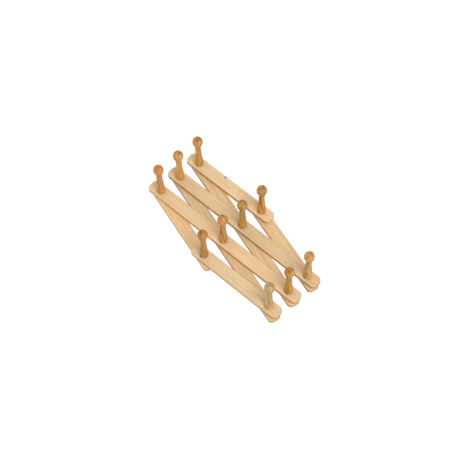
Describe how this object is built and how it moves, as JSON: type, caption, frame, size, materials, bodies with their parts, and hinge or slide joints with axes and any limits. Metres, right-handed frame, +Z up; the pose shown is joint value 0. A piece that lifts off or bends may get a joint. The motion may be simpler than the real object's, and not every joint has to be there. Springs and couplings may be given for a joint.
{
  "type": "expanding wall peg rack",
  "caption": "Accordion wall rack of crossed flat wooden slats that pivot together, with turned wooden pegs on the pivots.",
  "frame": {"origin": "on the wall plane, behind the top centre peg, the pivot that stays still", "axes": "+Z up, +Y into the wall, pegs point along -Y, +X to the right seen from the front"},
  "size_m": [0.1614, 0.1066, 0.3451],
  "materials": {
    "slat_wood": "bare sanded pine",
    "peg_wood": "turned, waxed",
    "plated_steel": "zinc plated"
  },
  "bodies": {
    "fixed_pivot": {"peg_top_centre": "peg_wood", "washer_top_centre": "plated_steel", "screw_top_centre": "plated_steel"},
    "front_1": {"front_slat_1": "slat_wood", "peg_middle_1": "peg_wood", "washer_middle_1": "plated_steel", "screw_middle_1": "plated_steel", "peg_bottom_left": "peg_wood", "washer_bottom_left": "plated_steel", "screw_bottom_left": "plated_steel"},
    "front_2": {"front_slat_2": "slat_wood", "peg_top_left": "peg_wood", "washer_top_left": "plated_steel", "screw_top_left": "plated_steel", "peg_middle_2": "peg_wood", "washer_middle_2": "plated_steel", "screw_middle_2": "plated_steel", "peg_bottom_centre": "peg_wood", "washer_bottom_centre": "plated_steel", "screw_bottom_centre": "plated_steel"},
    "front_3": {"front_slat_3": "slat_wood", "peg_middle_3": "peg_wood", "washer_middle_3": "plated_steel", "screw_middle_3": "plated_steel", "peg_bottom_right": "peg_wood", "washer_bottom_right": "plated_steel", "screw_bottom_right": "plated_steel"},
    "front_4": {"front_slat_4": "slat_wood", "peg_top_right": "peg_wood", "washer_top_right": "plated_steel", "screw_top_right": "plated_steel", "peg_middle_4": "peg_wood", "washer_middle_4": "plated_steel", "screw_middle_4": "plated_steel"},
    "back_1": {"back_slat_1": "slat_wood"},
    "back_2": {"back_slat_2": "slat_wood"},
    "back_3": {"back_slat_3": "slat_wood"},
    "back_4": {"back_slat_4": "slat_wood"}
  },
  "joints": [
    {"name": "rack_expansion", "type": "hinge", "parent": "fixed_pivot", "child": "front_3", "pos_m": [0, 0, 0], "axis": [0, -1, 0], "range_deg": [-3.5, 76.5]},
    {"name": "back_slat_2_pivot", "type": "hinge", "parent": "fixed_pivot", "child": "back_2", "pos_m": [0, 0, 0], "axis": [0, -1, 0], "range_deg": [-76.5, 3.5]},
    {"name": "back_slat_3_pivot", "type": "hinge", "parent": "front_3", "child": "back_3", "pos_m": [0.02217, 0, -0.14835], "axis": [0, -1, 0], "range_deg": [-153, 7]},
    {"name": "front_slat_2_pivot", "type": "hinge", "parent": "back_2", "child": "front_2", "pos_m": [-0.02217, 0, -0.14835], "axis": [0, -1, 0], "range_deg": [-7, 153]},
    {"name": "back_slat_4_pivot", "type": "hinge", "parent": "front_3", "child": "back_4", "pos_m": [0.04434, 0, -0.2967], "axis": [0, -1, 0], "range_deg": [-153, 7]},
    {"name": "front_slat_4_pivot", "type": "hinge", "parent": "back_3", "child": "front_4", "pos_m": [0.04434, 0, 0], "axis": [0, -1, 0], "range_deg": [-7, 153]},
    {"name": "front_slat_1_pivot", "type": "hinge", "parent": "back_2", "child": "front_1", "pos_m": [-0.04434, 0, -0.2967], "axis": [0, -1, 0], "range_deg": [-7, 153]},
    {"name": "back_slat_1_pivot", "type": "hinge", "parent": "front_2", "child": "back_1", "pos_m": [-0.04434, 0, 0], "axis": [0, -1, 0], "range_deg": [-153, 7]}
  ],
  "couplings": [
    {"joint": "back_slat_2_pivot", "follows": "rack_expansion", "ratio": -1},
    {"joint": "back_slat_3_pivot", "follows": "rack_expansion", "ratio": -2},
    {"joint": "front_slat_2_pivot", "follows": "rack_expansion", "ratio": 2},
    {"joint": "back_slat_4_pivot", "follows": "rack_expansion", "ratio": -2},
    {"joint": "front_slat_4_pivot", "follows": "rack_expansion", "ratio": 2},
    {"joint": "front_slat_1_pivot", "follows": "rack_expansion", "ratio": 2},
    {"joint": "back_slat_1_pivot", "follows": "rack_expansion", "ratio": -2}
  ]
}
